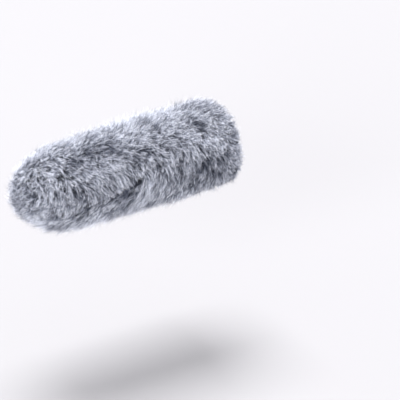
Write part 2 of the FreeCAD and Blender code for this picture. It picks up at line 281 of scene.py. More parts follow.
def on_side(place, angle):
    """The point of the backing at a place along the axis, in millimetres, and an angle."""
    x, radius, swing = place * MM, DOME_RADIUS, math.radians(angle)
    if x < DOME_X:
        share = min((DOME_X - x) / DOME_LENGTH, 0.97)
        x, radius = DOME_X - DOME_LENGTH * share, DOME_RADIUS * math.sqrt(1 - share**2)
    point = np.array([[x, -radius * math.sin(swing), -radius * math.cos(swing)]])
    return onto_backing(point)[0][0]


def tangent(vectors, normals):
    """The part of each vector that lies in the surface."""
    return vectors - dot(vectors, normals) * normals


def surface_axes(points, normals):
    """Unit vectors in the surface: towards the mouth, and round the tube and down the front."""
    rearward = unit(tangent(np.broadcast_to([1.0, 0, 0], points.shape), normals) + 1e-7)
    down = unit(np.cross(normals, rearward))
    angle = np.radians(around(points))[..., None]
    wanted = np.concatenate([0 * angle, np.cos(angle), -np.sin(angle)], -1)
    return rearward, down * np.sign(dot(down, wanted) + 1e-9)


# %% Soft steps and slow noise
def smooth(share):
    """A soft step from 0 to 1."""
    share = np.clip(share, 0, 1)
    return share * share * (3 - 2 * share)


def slow_noise(points, wavelength, seed):
    """Three smooth random channels between about -1 and 1, with bumps of one size."""
    rng = np.random.default_rng(seed)
    waves = 24
    direction = unit(rng.normal(size=(waves, 3)))
    stretch = rng.uniform(0.7, 1.4, (waves, 1))
    phase = rng.uniform(0, TURN, (3, waves))
    angle = points @ (direction * stretch * TURN / wavelength).T
    return np.stack([np.sin(angle + phase[k]).sum(-1) for k in range(3)], -1) / math.sqrt(waves)


# %% [markdown]
# ## The parting
#
# On the front the pile parts in a dark line that runs along the long seam towards the nose. The
# pile makes most of it: hair from above hangs over the line and stops there, and hair from below
# starts low beside it and leans away. The hair just under the line is also painted darker, as
# painted shade in the groove under the overhang. The line is given by places in millimetres and
# angles up the front.

# %% Parting
PARTING = [(-79, 109), (-86, 102), (-94, 94), (-104, 89), (-111, 87), (-119, 84), (-128, 79),
           (-138, 71), (-147, 64)]
PARTING_FLOOR, PARTING_WIDTH = -1.4 * MM, 3.4 * MM
SHORTEST = 1.2 * MM
print(f"parting: {PARTING[0][0] - PARTING[-1][0]} mm long")


def above_parting(points):
    """How far round the tube each point is above the parting, and how strong it is there."""
    x = points[..., 0]
    places = np.array(PARTING[::-1], float)
    line = np.interp(x, places[:, 0] * MM, places[:, 1])
    nose_end, rear_end = places[0, 0] * MM, places[-1, 0] * MM
    strength = smooth((x - nose_end) / (14 * MM)) * smooth((rear_end - x) / (9 * MM))
    away = (around(points) - line + 180) % 360 - 180
    return np.radians(away) * np.hypot(points[..., 1], points[..., 2]), strength


def combed_flat(points):
    """1 where the pile lies long and flat along the tube, under the parting; 0 elsewhere."""
    above_it, _ = above_parting(points)
    angle, x = around(points), points[..., 0]
    front = smooth((angle - 15) / 30) * smooth(-above_it / (4 * MM))
    return front * smooth((-45 * MM - x) / (25 * MM)) * smooth((x + 160 * MM) / (12 * MM))


def stop_at_parting(points, flow, reach):
    """The reach of each hair, cut back where it would cross the floor of the parting."""
    root, strength = above_parting(points)
    tip, _ = above_parting(onto_backing(points + flow * reach[:, None])[0])
    root, tip = root - PARTING_FLOOR, tip - PARTING_FLOOR
    free = np.clip(np.abs(root) - MM, 0, None) / (np.abs(root) + np.abs(tip) + 1e-9)
    crosses = (root * tip < 0) & (strength > 0.3)
    return np.where(crosses, np.maximum(reach * free, SHORTEST), reach)


# %% [markdown]
# ## The flow of the pile
#
# Hair has one direction at each point, and near hairs agree. Each stroke pulls the pile within
# its own width, and pile far from all of them lies back towards the mouth. Slow noise bends the
# flow a little, as plain blending looks combed by a machine. Just under the parting the pile
# lies along the line.

# %% Flow
STROKE_WIDTH = 6.5 * MM
UNDER_PARTING = 171


def flow_at(points, normals):
    """The direction in which the pile lies over, a unit vector in the surface."""
    rearward, down = surface_axes(points, normals)
    lie = 0.10 * rearward + 0.04 * down
    for place, angle, direction in STROKES:
        gap = points - on_side(place, angle)
        weight = np.exp(-dot(gap, gap) / (2 * STROKE_WIDTH**2))
        way = math.radians(direction)
        lie = lie + weight * (math.cos(way) * rearward + math.sin(way) * down)
    bend = slow_noise(points, 17 * MM, 3) + slow_noise(points, 9 * MM, 4)
    above_it, strength = above_parting(points)
    under = (np.exp(-((above_it + 5 * MM) / (4.5 * MM)) ** 2) * strength)[..., None]
    way = math.radians(UNDER_PARTING)
    along_it = math.cos(way) * rearward + math.sin(way) * down
    lie = unit(lie) + 0.32 * bend * (1 - 0.7 * under) + 2 * under * along_it
    return unit(tangent(lie, normals))


# %% [markdown]
# ## From roots to hairs
#
# Pile stands in clumps. Blender's own hair would grow them, but it isn't a mesh and doesn't go
# with the model, so the lines are worked out here. Each clump has a guide that rises from the
# cloth and leans the way the pile lies, and its hairs are drawn towards it, into a tuft. The
# lean follows the surface, so long hair wraps round the tube.

# %% Hair lines
HAIR_POINTS = 4


def comb(roots, flow, lift, reach, droop, points=HAIR_POINTS):
    """Hair lines: out from the cloth by lift, and over it by reach along the flow."""
    lines = []
    for share in np.linspace(0, 1, points):
        over = reach * share**1.4
        ground, normals = onto_backing(roots + flow * over[:, None])
        rise = lift * share * (1 + droop - droop * share)
        lines.append(ground + normals * rise[:, None])
    return np.stack(lines, 1)


def curl(lines, amount, turns, phase):
    """A sideways wave that grows towards the tip."""
    share = np.linspace(0, 1, lines.shape[1])
    heading = unit(lines[:, -1] - lines[:, 0])
    out = unit(lines[:, 0] * [0, 1, 1] + [1e-6, 0, 0])
    side = unit(np.cross(heading, out) + 1e-6)
    wave = np.sin(turns[:, None] * share * TURN + phase[:, None]) - np.sin(phase[:, None])
    return lines + side[:, None, :] * (wave * share * amount[:, None])[..., None]


def lean_past_lip(lines):
    """Hair that reaches behind the mouth curls in round the hem."""
    past = np.clip(lines[..., 0] - LIP_X, 0, None)
    radius = np.maximum(np.hypot(lines[..., 1], lines[..., 2]), 1e-6)
    scale = 1 - 0.5 * past / radius
    lines = lines.copy()
    lines[..., 1] *= scale
    lines[..., 2] *= scale
    lines[..., 0] -= 0.2 * past
    return lines


# %% [markdown]
# ## A strand that costs little
#
# A hundred thousand hairs must stay light. Round tubes would be far heavier and look the same, so
# each is a closed three-sided spike with a bend or two. Operators are too slow for so many, so
# the mesh is filled from arrays. Its map is a colour key: across is the hair's shade, painted
# shade and highlight included, and up is the way from root to tip.

# %% Shape of a strand
SIDES = 3


def strand_points(lines, widths):
    """A ring of corners at every step of each hair, and one point for its tip."""
    hairs, points, _ = lines.shape
    share = np.linspace(0, 1, points)
    heading = unit(np.gradient(lines, axis=1))
    aim = unit(np.random.default_rng(hairs).normal(size=(hairs, 1, 3)))
    side = unit(np.cross(heading, aim))
    other = np.cross(heading, side)
    radius = widths[:, None] / 2 * (1 - 0.64 * share**2 - 0.1 * share)
    corners = []
    for corner in range(SIDES):
        angle = TURN * corner / SIDES
        reach = math.cos(angle) * side + math.sin(angle) * other
        corners.append(lines + reach * radius[..., None])
    rings = np.stack(corners, 2)[:, :-1]
    return np.concatenate([rings.reshape(hairs, -1, 3), lines[:, -1:]], 1)


def strand_faces(rings):
    """The walls between rings, three faces to the tip, and a cap on the root."""
    faces = []
    for corner in range(SIDES):
        a, b = corner, (corner + 1) % SIDES
        for ring in range(0, (rings - 1) * SIDES, SIDES):
            faces.append((ring + a, ring + b, ring + b + SIDES, ring + a + SIDES))
        faces.append(((rings - 1) * SIDES + a, (rings - 1) * SIDES + b, rings * SIDES))
    return [*faces, (2, 1, 0)]


# %% Mesh of many strands
def strand_mesh(name, lines, widths, shades):
    """One mesh of closed, tapering hairs, with their colour key."""
    verts = strand_points(lines, widths)
    hairs, per_hair, _ = verts.shape
    rings = lines.shape[1] - 1
    pattern = strand_faces(rings)
    loops = np.concatenate([np.array(face) for face in pattern])
    sizes = np.tile([len(face) for face in pattern], hairs)
    shift = np.arange(hairs)[:, None] * per_hair
    starts = np.concatenate([[0], np.cumsum(sizes)[:-1]])

    mesh = bpy.data.meshes.new(name)
    mesh.vertices.add(hairs * per_hair)
    mesh.vertices.foreach_set("co", verts.ravel().astype(np.float32))
    mesh.loops.add(len(loops) * hairs)
    mesh.loops.foreach_set("vertex_index", (loops + shift).ravel().astype(np.int32))
    mesh.polygons.add(len(sizes))
    mesh.polygons.foreach_set("loop_start", starts.astype(np.int32))
    mesh.polygons.foreach_set("use_smooth", np.ones(len(sizes), bool))
    mesh.update(calc_edges=True)

    steps = np.linspace(0, 1, rings + 1)
    up = np.append(np.repeat(steps[:rings], SIDES), 1.0)[loops]
    across = np.append(np.tile(np.arange(SIDES) / SIDES, rings), 0.5)[loops] * 0.004
    uv = np.stack([np.clip(shades[:, None] + across, 0, 1), np.broadcast_to(up, (hairs, len(up)))],
                  -1)
    key = mesh.uv_layers.new(name="OFBake")
    key.data.foreach_set("uv", uv.ravel().astype(np.float32))
    mesh.validate()
    piece = bpy.data.objects.new(name, mesh)
    bpy.context.scene.collection.objects.link(piece)
    return piece


# %% [markdown]
# ## The fur's colour
#
# Silver fur is dark at the root and pale at the tip, and dark guard hairs run through it. A
# noise over the whole would colour patches and not hairs. So two ramps, one for the darkest hair
# and one for the palest, are mixed by the hair's shade, which also carries the painted shade and
# highlight of the openings, tufts and parting.

# %% Fur material
def ramp(tree, colours):
    """A colour ramp from (position, colour) pairs."""
    node = tree.nodes.new("ShaderNodeValToRGB")
    stops = node.color_ramp.elements
    for stop, (position, colour) in zip(stops, colours[:2]):
        stop.position, stop.color = position, (*colour, 1)
    for position, colour in colours[2:]:
        stops.new(position).color = (*colour, 1)
    return node


def silver_fur(name, dark, pale):
    """Fur that reads the colour key: shade across, root to tip upwards."""
    paint = bpy.data.materials.new(name)
    paint.use_nodes = True
    tree = paint.node_tree
    shader = tree.nodes["Principled BSDF"]
    key = tree.nodes.new("ShaderNodeUVMap")
    key.uv_map = "OFBake"
    parts = tree.nodes.new("ShaderNodeSeparateXYZ")
    tree.links.new(key.outputs["UV"], parts.inputs[0])
    mix = tree.nodes.new("ShaderNodeMix")
    mix.data_type = "RGBA"
    tree.links.new(parts.outputs["X"], mix.inputs["Factor"])
    colour_a, colour_b = [socket for socket in mix.inputs if socket.type == "RGBA"]
    for colours, socket in ((dark, colour_a), (pale, colour_b)):
        shades = ramp(tree, colours)
        tree.links.new(parts.outputs["Y"], shades.inputs["Fac"])
        tree.links.new(shades.outputs["Color"], socket)
    mixed = next(socket for socket in mix.outputs if socket.type == "RGBA")
    tree.links.new(mixed, shader.inputs["Base Color"])
    shader.inputs["Roughness"].default_value = 0.6
    shader.inputs["Specular IOR Level"].default_value = 0.15
    return paint


FUR = silver_fur(
    "silver fur",
    dark=[(0.0, (0.006, 0.007, 0.011)), (0.5, (0.022, 0.026, 0.04)), (1.0, (0.15, 0.168, 0.235))],
    pale=[(0.0, (0.018, 0.020, 0.030)), (0.4, (0.18, 0.199, 0.264)),
          (0.75, (0.76, 0.79, 0.885)), (1.0, (0.86, 0.88, 0.935))],
)
print("painted:", FUR.name)

# %% [markdown]
# ## Swells and openings
#
# Handled pile is not of one height. It swells along its back, and it opens on its dark roots or
# closes into a tuft. Noise alone would put these anywhere, so the large ones are listed, and a
# little noise is laid over them. Each row is a place, an angle, a spread in millimetres and a
# share: of the height in the first table, of the shade in the second, with half as much of the
# height. That shade is painted light: hair in an opening is painted darker as the shade in it,
# one opening is a painted shadow of the microphone holder's clamp, and a tuft is painted paler
# as the light that it catches.

# %% Heights
SWELLS = [
    (-92, 40, 20, 0.12), (-120, 48, 16, 0.20), (-142, 38, 14, 0.22), (-152, 60, 8, 0.10),
    (-100, 178, 18, 0.28), (-62, 182, 18, 0.26), (-22, 186, 9, 0.25), (-155, 178, 9, 0.12),
    (-125, -60, 22, 0.12), (-60, -100, 25, 0.08), (-166, 100, 9, 0.18), (-16, 30, 14, -0.32),
]
# Openings and tufts: negative shares paint shade into the hair, positive shares paint highlight.
OPENINGS_AND_PAINTED_LIGHT = [
    (-69, 114, 3.5, -0.9), (-101, 151, 4, -0.9), (-158, 142, 3.5, -0.7), (-86, 124, 3.5, -0.9),
    (-161, 92, 3, -0.4), (-52, 110, 4, -0.8), (-117, 153, 3.5, -0.7), (-48, 135, 3, -0.8),
    (-132, 107, 3.5, -0.6), (-29, 146, 3.5, -0.8), (-53, 79, 4, -0.5), (-34, 80, 4, -0.7),
    (-30, 90, 4, -0.7), (-128, 148, 3.5, -0.6), (-94, 79, 5, -0.8), (-43, 78, 4.5, -0.6),
    # The row at -23 mm and 82 degrees is a painted shadow of the microphone holder's clamp.
    (-110, 159, 4, -0.4), (-23, 82, 7, -0.3), (-77, 132, 3, -0.5), (-146, 104, 3, -0.4),
    (-119, 121, 4.5, 0.6), (-75, 98, 6, 0.7), (-100, 107, 4.5, 0.5), (-37, 126, 4.5, 0.4),
    (-63, 140, 5, 0.5), (-48, 166, 5, 0.4), (-107, 133, 4, 0.4), (-146, 87, 4.5, 0.3),
    (-23, 114, 4, 0.4), (-141, 128, 6, 0.5), (-86, 153, 4.5, 0.5), (-131, 66, 5, 0.3),
    (-119, 62, 5, 0.5), (-155, 171, 5, 0.5), (-80, 184, 8, 0.3),
]
print(len(SWELLS), "swells,", len(OPENINGS_AND_PAINTED_LIGHT), "openings and tufts")


def bumps_at(points, table):
    """The sum of soft round bumps, each given by its place, angle, spread and share."""
    total = 0
    for place, angle, spread, share in table:
        gap = points - on_side(place, angle)
        total = total + share * np.exp(-dot(gap, gap)[..., 0] / (2 * (spread * MM) ** 2))
    return total


def swell_at(points):
    """How much the pile swells or sinks here, as a share of its height."""
    wide = 0.07 * slow_noise(points, 20 * MM, 8)[..., 0]
    close = 0.13 * slow_noise(points, 8 * MM, 9)[..., 0]
    rise = wide + close + bumps_at(points, SWELLS) + 0.5 * bumps_at(points, OPENINGS_AND_PAINTED_LIGHT)
    return np.maximum(rise, -0.6)


def pile_height(points):
    """How high the pile stands here: full at the mouth, lower on the nose, none on the parting."""
    share = np.clip((points[..., 0] - DOME_X) / (BLEND_X - DOME_X), 0, 1)
    nose = PILE_NOSE_RADIUS - DOME_RADIUS
    full = nose + share * (PILE_REAR_RADIUS - REAR_RADIUS - nose)
    above_it, strength = above_parting(points)
    valley = np.exp(-((above_it + 3 * MM) / (3.2 * MM)) ** 2) * strength
    ridge = np.exp(-((above_it - 6 * MM) / (4 * MM)) ** 2) * strength
    at_lip = np.clip(1 - (LIP_X - points[..., 0]) / (14 * MM), 0, 1) ** 1.5
    return full * (1.07 - 0.92 * valley + 0.05 * ridge - 0.28 * at_lip + swell_at(points))


# %% [markdown]
# ## Growing the hair
#
# One recipe grows every sort of hair, so all agree about flow, heights and parting. Hairs could be
# drawn one by one, but that makes felt. So clumps are planned first, and a hair takes its way,
# its height and most of its shade from its clump. Every draw is seeded, so the pile is the same
# each time.

# %% Shades
def shade_hairs(rng, seen, owner, shade_mean):
    """How pale each hair is, from the place where its clump is seen; one in five is dark."""
    broad = slow_noise(seen, 17 * MM, 5)[..., 0] * 0.26
    fine = slow_noise(seen, 8 * MM, 6)[..., 0] * 0.29
    above_it, strength = above_parting(seen)
    # Painted shade: the hair just under the parting is painted darker, where the overhanging pile
    # shades the groove.
    painted_parting_shade = np.exp(-((above_it + 2.9 * MM) / (2.4 * MM)) ** 2) * strength
    # The openings' rows paint shade into the hair in the openings, and paler hair as painted
    # highlight on the tufts.
    shade = (shade_mean + broad + fine + bumps_at(seen, OPENINGS_AND_PAINTED_LIGHT) - painted_parting_shade
             + rng.normal(0, 0.22, len(seen)))
    shades = np.clip(shade[owner] + rng.normal(0, 0.25, len(owner)), 0.0, 0.995)
    return np.where(rng.random(len(owner)) < 0.21, shades * 0.2, shades)


# %% Clumps and their hairs
def grow(clumps, per_clump, width, gather, spread, seed, height_range, reach_range, jitter,
         wave, shade_mean, points=HAIR_POINTS):
    """Clumped hair: guides first, then the hairs around each of them."""
    rng = np.random.default_rng(seed)
    centres, normals = spread_roots(clumps, 1.4 * MM, rng)
    above_it, strength = above_parting(centres)
    kept = ~((np.abs(above_it - PARTING_FLOOR) < PARTING_WIDTH / 2) & (strength > 0.3))
    centres, normals, clumps = centres[kept], normals[kept], int(kept.sum())
    flow = flow_at(centres, normals)
    combed = combed_flat(centres)
    above_it, strength = above_parting(centres)
    calm = 1 - 0.8 * np.exp(-(above_it / (5 * MM)) ** 2) * strength
    stray = rng.normal(0, 1, flow.shape) * (jitter * (1 - 0.85 * combed) * calm)[:, None]
    flow = unit(tangent(flow + stray, normals))
    height = pile_height(centres) * rng.uniform(*height_range, clumps)
    reach = rng.uniform(*reach_range, clumps) * MM * (1 + 0.6 * combed)
    reach = stop_at_parting(centres, flow, reach)
    phase = rng.uniform(0, TURN, clumps)
    turns = rng.uniform(0.35, 0.9, clumps)
    droop = rng.uniform(0.1, 0.8, clumps) + 0.3 * combed
    own_wave = calm * wave
    guides = comb(centres, flow, height, reach, droop, points)
    guides = curl(guides, rng.uniform(0.2, 1.0, clumps) * own_wave, turns, phase)

    owner = np.repeat(np.arange(clumps), per_clump)
    hairs = len(owner)
    roots, root_normals = onto_backing(centres[owner] + rng.normal(0, spread, (hairs, 3)))
    own_flow = unit(tangent(flow[owner] + rng.normal(0, 0.18, (hairs, 3)), root_normals))
    own_height = height[owner] * rng.uniform(0.65, 1.12, hairs)
    own_reach = stop_at_parting(roots, own_flow, reach[owner] * rng.uniform(0.7, 1.1, hairs))
    lines = comb(roots, own_flow, own_height, own_reach, droop[owner], points)
    lines = curl(lines, rng.uniform(0.12, 0.55, hairs) * own_wave[owner], turns[owner],
                 phase[owner])
    share = np.linspace(0, 1, points)[None, :, None]
    tightness = (gather * rng.uniform(0.5, 1.15, clumps))[owner][:, None, None]
    lines = lines + (guides[owner] - lines) * np.clip(tightness * share**0.8, 0, 0.95)
    shades = shade_hairs(rng, centres + flow * reach[:, None] / 2, owner, shade_mean)
    return lean_past_lip(lines), width * rng.uniform(0.75, 1.2, hairs), shades


# %% [markdown]
# ## Three sorts of hair
#
# Silver fur is not one kind of hair. Underwool is short and dense and hides the cloth. Locks are
# the clumped hairs that give the surface its grain. Wisps are fine, long and loose, and soften
# the outline. One sort alone would look like a brush or like wool. Each sort is dealt out into
# a few meshes, because one mesh of it all would be too heavy to handle.

# %% Lay the pile
PILE_SEED = 11
MOST_TRIANGLES = 180_000


def split_pieces(name, lines, widths, shades):
    """The hair as a few pieces, each taking every n-th hair, so that all cover the whole pile."""
    triangles = 2 * SIDES * (lines.shape[1] - 2) + SIDES + 1
    count = math.ceil(len(lines) * triangles / MOST_TRIANGLES)
    order = np.random.default_rng(len(lines)).permutation(len(lines))
    pieces = []
    for number in range(count):
        mine = np.sort(order[number::count])
        piece = strand_mesh(f"{name}_{number + 1}", lines[mine], widths[mine], shades[mine])
        piece.data.materials.append(FUR)
        pieces.append(piece)
    print(f"{name}: {len(lines)} hairs, {len(lines) * triangles} triangles, {count} pieces")
    return pieces


pile = []
pile += split_pieces("pile_underfur", *grow(
    clumps=7600, per_clump=4, width=0.27 * MM, gather=0.8, spread=0.7 * MM, seed=PILE_SEED,
    height_range=(0.45, 0.85), reach_range=(3.0, 6.0), jitter=0.7, wave=1.6 * MM,
    shade_mean=0.34, points=3))
pile += split_pieces("pile_locks", *grow(
    clumps=12500, per_clump=5, width=0.19 * MM, gather=0.76, spread=0.55 * MM,
    seed=PILE_SEED + 1, height_range=(0.68, 1.25), reach_range=(3.8, 8.0), jitter=0.52,
    wave=2.6 * MM, shade_mean=1.0))
pile += split_pieces("pile_wisps", *grow(
    clumps=30000, per_clump=1, width=0.13 * MM, gather=0.0, spread=0.8 * MM,
    seed=PILE_SEED + 2, height_range=(0.9, 1.5), reach_range=(2.0, 7.0), jitter=0.8,
    wave=1.8 * MM, shade_mean=0.58, points=3))

# %% [markdown]
# ## Pieces turned on the axis
#
# Everything under the pile is round: cloth sleeves, foam, tape. Cylinders could be cut and
# bevelled into them, but an outline is shorter and says every step. It is given in (depth,
# radius), in millimetres: one vertex is extruded round it, and it is spun about the axis.

# %% Turned pieces
def turned(name, outline, steps=120):
    """A closed ring, or a cap where the outline starts and ends at radius 0."""
    bpy.ops.object.select_all(action="DESELECT")
    first = Vector((-outline[0][0] * MM, 0, outline[0][1] * MM))
    bpy.ops.mesh.primitive_plane_add(size=MM, location=(0, 0, 0))
    piece = bpy.context.object
    piece.name = piece.data.name = name
    bpy.ops.object.mode_set(mode="EDIT")
    bpy.ops.mesh.merge(type="CENTER")
    bpy.ops.transform.translate(value=first)
    closed = outline if outline[0][1] == 0 else [*outline, outline[0]]
    for (depth, radius), (next_depth, next_radius) in zip(closed, closed[1:]):
        step = ((depth - next_depth) * MM, 0, (next_radius - radius) * MM)
        bpy.ops.mesh.extrude_region_move(TRANSFORM_OT_translate={"value": step})
    bpy.ops.mesh.select_all(action="SELECT")
    bpy.ops.mesh.remove_doubles(threshold=1e-6)
    bpy.ops.mesh.spin(steps=steps, angle=TURN, center=(0, 0, 0), axis=(1, 0, 0))
    bpy.ops.mesh.select_all(action="SELECT")
    bpy.ops.mesh.remove_doubles(threshold=1e-6)
    bpy.ops.mesh.normals_make_consistent(inside=False)
    bpy.ops.object.mode_set(mode="OBJECT")
    bpy.ops.object.shade_smooth_by_angle(angle=math.radians(50))
    print(f"{name}: {len(piece.data.vertices)} points, {len(piece.data.polygons)} faces")
    return piece


def reshape(piece, move):
    """Move all points of a piece by a function of x, radius and angle that returns x and radius."""
    count = len(piece.data.vertices)
    place = np.empty(count * 3)
    piece.data.vertices.foreach_get("co", place)
    x, y, z = place.reshape(count, 3).T
    radius, angle = np.hypot(y, z), np.arctan2(y, z)
    x, radius = move(x, radius, angle)
    place = np.stack([x, radius * np.sin(angle), radius * np.cos(angle)], 1)
    piece.data.vertices.foreach_set("co", place.ravel())
    piece.data.update()


# %% Outline of a dome
DOME_STEPS = 22


def dome_line(depth, length, radius, from_tip=False):
    """A quarter of an ellipse in (depth, radius): from the dome's edge to its tip, or back."""
    swing = [k / DOME_STEPS * math.pi / 2 for k in range(DOME_STEPS + 1)]
    line = [(depth + length * math.sin(a), radius * max(math.cos(a), 0)) for a in swing]
    line[-1] = (depth + length, 0)
    return line[::-1] if from_tip else line


# %% [markdown]
# ## Cloth, tape, foam and thread
#
# A knit shows columns of loops, called wales, and a tape shows slanted ribs. Both could be drawn
# on flat axes, but those would stretch over a round piece. The angle about the axis is the best
# way across: a whole number of wales goes round with no join. Foam is cells of Voronoi noise
# with dark pits, and rubber and plastic have only a fine grain.

# %% Helpers for materials
def node(tree, kind, **values):
    """A shader node with its plain properties set."""
    made = tree.nodes.new(kind)
    for name, value in values.items():
        setattr(made, name, value)
    return made


def maths(tree, operation, a, b=None):
    """One Math node; a and b are numbers or sockets."""
    made = node(tree, "ShaderNodeMath", operation=operation)
    for socket, value in zip(made.inputs, (a, b)):
        if isinstance(value, (int, float)):
            socket.default_value = value
        elif value is not None:
            tree.links.new(value, socket)
    return made.outputs[0]


def new_paint(name, roughness):
    """A material with a Principled shader, and its object coordinates."""
    paint = bpy.data.materials.new(name)
    paint.use_nodes = True
    tree = paint.node_tree
    shader = tree.nodes["Principled BSDF"]
    shader.inputs["Roughness"].default_value = roughness
    place = node(tree, "ShaderNodeTexCoord").outputs["Object"]
    return paint, tree, shader, place


def colour_and_bump(tree, shader, height, dark, pale, depth):
    """Colour the height from dark to pale, and raise it as bump."""
    colour = ramp(tree, [(0.0, dark), (1.0, pale)])
    tree.links.new(height, colour.inputs["Fac"])
    tree.links.new(colour.outputs["Color"], shader.inputs["Base Color"])
    bump = node(tree, "ShaderNodeBump")
    bump.inputs["Strength"].default_value = 0.8
    bump.inputs["Distance"].default_value = depth
    tree.links.new(height, bump.inputs["Height"])
    tree.links.new(bump.outputs["Normal"], shader.inputs["Normal"])


# %% Round cloth
def round_cloth(name, dark, pale, wales, rows, slant=0.0, depth=0.2 * MM):
    """Knit or tape: so many wales round the axis, and rows to the metre along it."""
    paint, tree, shader, place = new_paint(name, 0.9)
    shader.inputs["Sheen Weight"].default_value = 0.15

    def sum_of(a, b):
        return maths(tree, "ADD", a, b)

    def times(a, b):
        return maths(tree, "MULTIPLY", a, b)

    parts = node(tree, "ShaderNodeSeparateXYZ")
    tree.links.new(place, parts.inputs[0])
    x, y, z = parts.outputs
    across = times(maths(tree, "ARCTAN2", y, z), float(wales))
    out = maths(tree, "SQRT", sum_of(maths(tree, "POWER", y, 2.0), maths(tree, "POWER", z, 2.0)))
    along = times(sum_of(x, out), rows * TURN)
    ribs = maths(tree, "SINE", sum_of(across, times(along, slant)))
    bars = maths(tree, "SINE", sum_of(along, times(across, 0.5)))
    waves = times(sum_of(sum_of(ribs, bars), 2.0), 0.25)
    noise = node(tree, "ShaderNodeTexNoise")
    noise.inputs["Scale"].default_value = 900
    tree.links.new(place, noise.inputs["Vector"])
    height = sum_of(times(waves, 0.75), times(noise.outputs[0], 0.25))
    colour_and_bump(tree, shader, height, dark, pale, depth)
    return paint


# %% Foam, rubber and plastic
def speckled(name, dark, pale, scale, roughness, depth, cells=False):
    """Foam when it has cells; otherwise the fine grain of moulded rubber or plastic."""
    paint, tree, shader, place = new_paint(name, roughness)
    kind = "ShaderNodeTexVoronoi" if cells else "ShaderNodeTexNoise"
    grain = node(tree, kind)
    grain.inputs["Scale"].default_value = scale
    tree.links.new(place, grain.inputs["Vector"])
    height = grain.outputs[0]
    if cells:
        height = maths(tree, "SUBTRACT", 1.0, maths(tree, "MULTIPLY", height, 1.3))
    colour_and_bump(tree, shader, height, dark, pale, depth)
    return paint


# %% The finishes
KNIT = round_cloth("lining knit", (0.006, 0.006, 0.007), (0.075, 0.075, 0.085), 96, 620)
BACKING_KNIT = round_cloth("backing knit", (0.015, 0.0155, 0.018), (0.11, 0.113, 0.13), 110, 700)
TAPE = round_cloth("binding tape", (0.003, 0.003, 0.0035), (0.035, 0.035, 0.04), 190, 1100, 0.5)
BRAID = round_cloth("elastic braid", (0.01, 0.01, 0.011), (0.12, 0.12, 0.125), 150, 1000, 1.0)
THREAD = round_cloth("sewing thread", (0.05, 0.05, 0.055), (0.30, 0.30, 0.33), 300, 2500, 1.0,
                     0.05 * MM)
FOAM = speckled("open-cell foam", (0.002, 0.002, 0.002), (0.05, 0.05, 0.054), 1300, 1.0,
                0.5 * MM, cells=True)
RUBBER = speckled("collar rubber", (0.006, 0.006, 0.0065), (0.018, 0.018, 0.019), 700, 0.6,
                  0.03 * MM)
RING = speckled("ring plastic", (0.01, 0.01, 0.01), (0.025, 0.025, 0.025), 1500, 0.4, 0.02 * MM)
finishes = KNIT, BACKING_KNIT, TAPE, BRAID, THREAD, FOAM, RUBBER, RING
print("finishes:", [paint.name for paint in finishes])

# %% [markdown]
# ## The foam core
#
# The core is moulded open-cell foam: a tube with a wide recess at the rear for the collar, and a
# solid dome glued on its front, with a glue line between them. Sculpting would spoil the bore,
# so both are turned, and a little unevenness keeps the outside from looking machined.

# %% Foam pieces
core_rear, core_front = -high("foam_core").x / MM, -low("foam_core").x / MM
core_wide, cap_wide = high("foam_core").z / MM, high("foam_nose_cap").z / MM
bore, recess, recess_end = 10.5, 15.2, 19.0

foam_tube = turned("foam_tube", [
    (core_rear, recess), (12, recess), (recess_end, recess), (recess_end, bore + 1),
    (recess_end + 1, bore), (70, bore), (core_front, bore), (core_front, cap_wide - 0.8),
    (core_front - 0.5, cap_wide - 0.1), (100, cap_wide + 0.3), (75, cap_wide + 0.6),
    (50, cap_wide + 0.88), (25, cap_wide + 1.15), (core_rear + 2, core_wide - 0.03),
    (core_rear + 0.6, core_wide - 0.6), (core_rear, core_wide - 2),
])
cap_line = dome_line(core_front, -low("foam_nose_cap").x / MM - core_front, cap_wide - 0.1)
foam_cap = turned("foam_cap", [(core_front, 0), (core_front, cap_wide - 0.8), *cap_line[1:]])


# %% Unevenness of the foam
def uneven(x, radius, angle):
    """Gentle lumps on the outside, up to 0.3 mm deep and only inwards."""
    points = np.stack([x, radius * np.sin(angle), radius * np.cos(angle)], 1)
    lumps = slow_noise(points, 15 * MM, 21)[..., 0].clip(-1, 1) - 1
    return x, np.where(radius > 17 * MM, radius + 0.15 * MM * lumps, radius)


for foam in (foam_tube, foam_cap):
    reshape(foam, uneven)
    foam.data.materials.append(FOAM)
    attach(foam, "core")
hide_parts("foam_core")
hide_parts("foam_nose_cap")
print(f"foam: {core_front:.0f} mm of tube round a bore of {2 * bore:.0f} mm, and its cap")

# %% [markdown]
# ## The lining and the fur's backing
#
# The cover is two layers of knit. The lining, a dark mesh, slides over the foam. The backing is
# the cloth that the pile is knitted into. Cloth simulation would only find what the foam's shape
# gives already, so both are turned.

# %% Lining
HEM_DEPTH = -low("hem_binding").x / MM
SEAM_DEPTH = -DOME_X / MM
SLEEVE_OUT, CAP_OUT = LINING_REAR_RADIUS / MM, LINING_NOSE_RADIUS / MM


def dress(piece, paint, body):
    """Paint a piece, and make it ride on its body."""
    piece.data.materials.append(paint)
    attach(piece, body)


lining = turned("lining_tube", [
    (HEM_DEPTH + 0.2, SLEEVE_OUT - 0.08), (70, (SLEEVE_OUT + CAP_OUT) / 2 + 0.02),
    (SEAM_DEPTH - 0.1, CAP_OUT - 0.08), (SEAM_DEPTH - 0.1, CAP_OUT - 0.62),
    (70, (SLEEVE_OUT + CAP_OUT) / 2 - 0.58), (HEM_DEPTH + 0.2, SLEEVE_OUT - 0.6),
])
dress(lining, KNIT, "cover")
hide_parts("lining_sleeve")

lining_length = -LINING_TIP_X / MM - SEAM_DEPTH
lining_dome = turned("lining_dome", [
    *dome_line(SEAM_DEPTH, lining_length - 0.62, CAP_OUT - 0.62, from_tip=True),
    *dome_line(SEAM_DEPTH, lining_length - 0.08, CAP_OUT - 0.08),
])
dress(lining_dome, KNIT, "cover")
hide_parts("lining_nose_cap")

